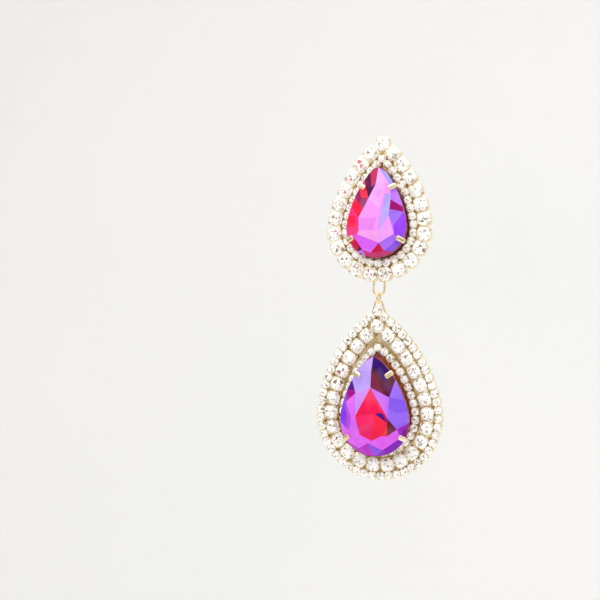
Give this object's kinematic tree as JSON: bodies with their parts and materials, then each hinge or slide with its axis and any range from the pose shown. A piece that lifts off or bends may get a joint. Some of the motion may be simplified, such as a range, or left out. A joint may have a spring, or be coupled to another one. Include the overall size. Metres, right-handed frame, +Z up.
{
  "type": "teardrop earring",
  "caption": "Drop earring of two linked teardrops, each a faceted pear stone in claws, ringed by rows of small clear stones in metal cups, with an ear post behind the upper one.",
  "frame": {"origin": "foot of the ear post, on the back plane of the upper drop, where the earring hangs on the ear", "axes": "+Z up as worn, -Y the front with the stones, +X to the right as seen from the front; the earring is stored hanging"},
  "size_m": [0.0394, 0.0235, 0.1043],
  "materials": {
    "gold_metal": "polished pale gold plating",
    "cup_chain": "clear faceted stones with foiled backs in pale gold cups",
    "pear_glass": "foiled magenta glass with a violet and lilac coating, cut in facets"
  },
  "bodies": {
    "upper_drop": {"ear_post": "gold_metal", "upper_back_frame": "gold_metal", "upper_claw_setting": "gold_metal", "upper_pear_stone": "pear_glass", "upper_inner_row": "cup_chain", "upper_outer_row": "cup_chain"},
    "middle_link": {"middle_link": "gold_metal"},
    "lower_drop": {"lower_back_frame": "gold_metal", "lower_claw_setting": "gold_metal", "lower_pear_stone": "pear_glass", "lower_inner_row": "cup_chain", "lower_middle_row": "cup_chain", "lower_outer_row": "cup_chain"}
  },
  "joints": [
    {"name": "fore_aft_swing", "type": "hinge", "parent": "upper_drop", "child": "middle_link", "pos_m": [0, -0.0046, -0.02985], "axis": [1, 0, 0], "range_deg": [-60, 60]},
    {"name": "side_swing", "type": "hinge", "parent": "middle_link", "child": "lower_drop", "pos_m": [0, -0.0046, -0.0322], "axis": [0, 1, 0], "range_deg": [-60, 60]}
  ]
}
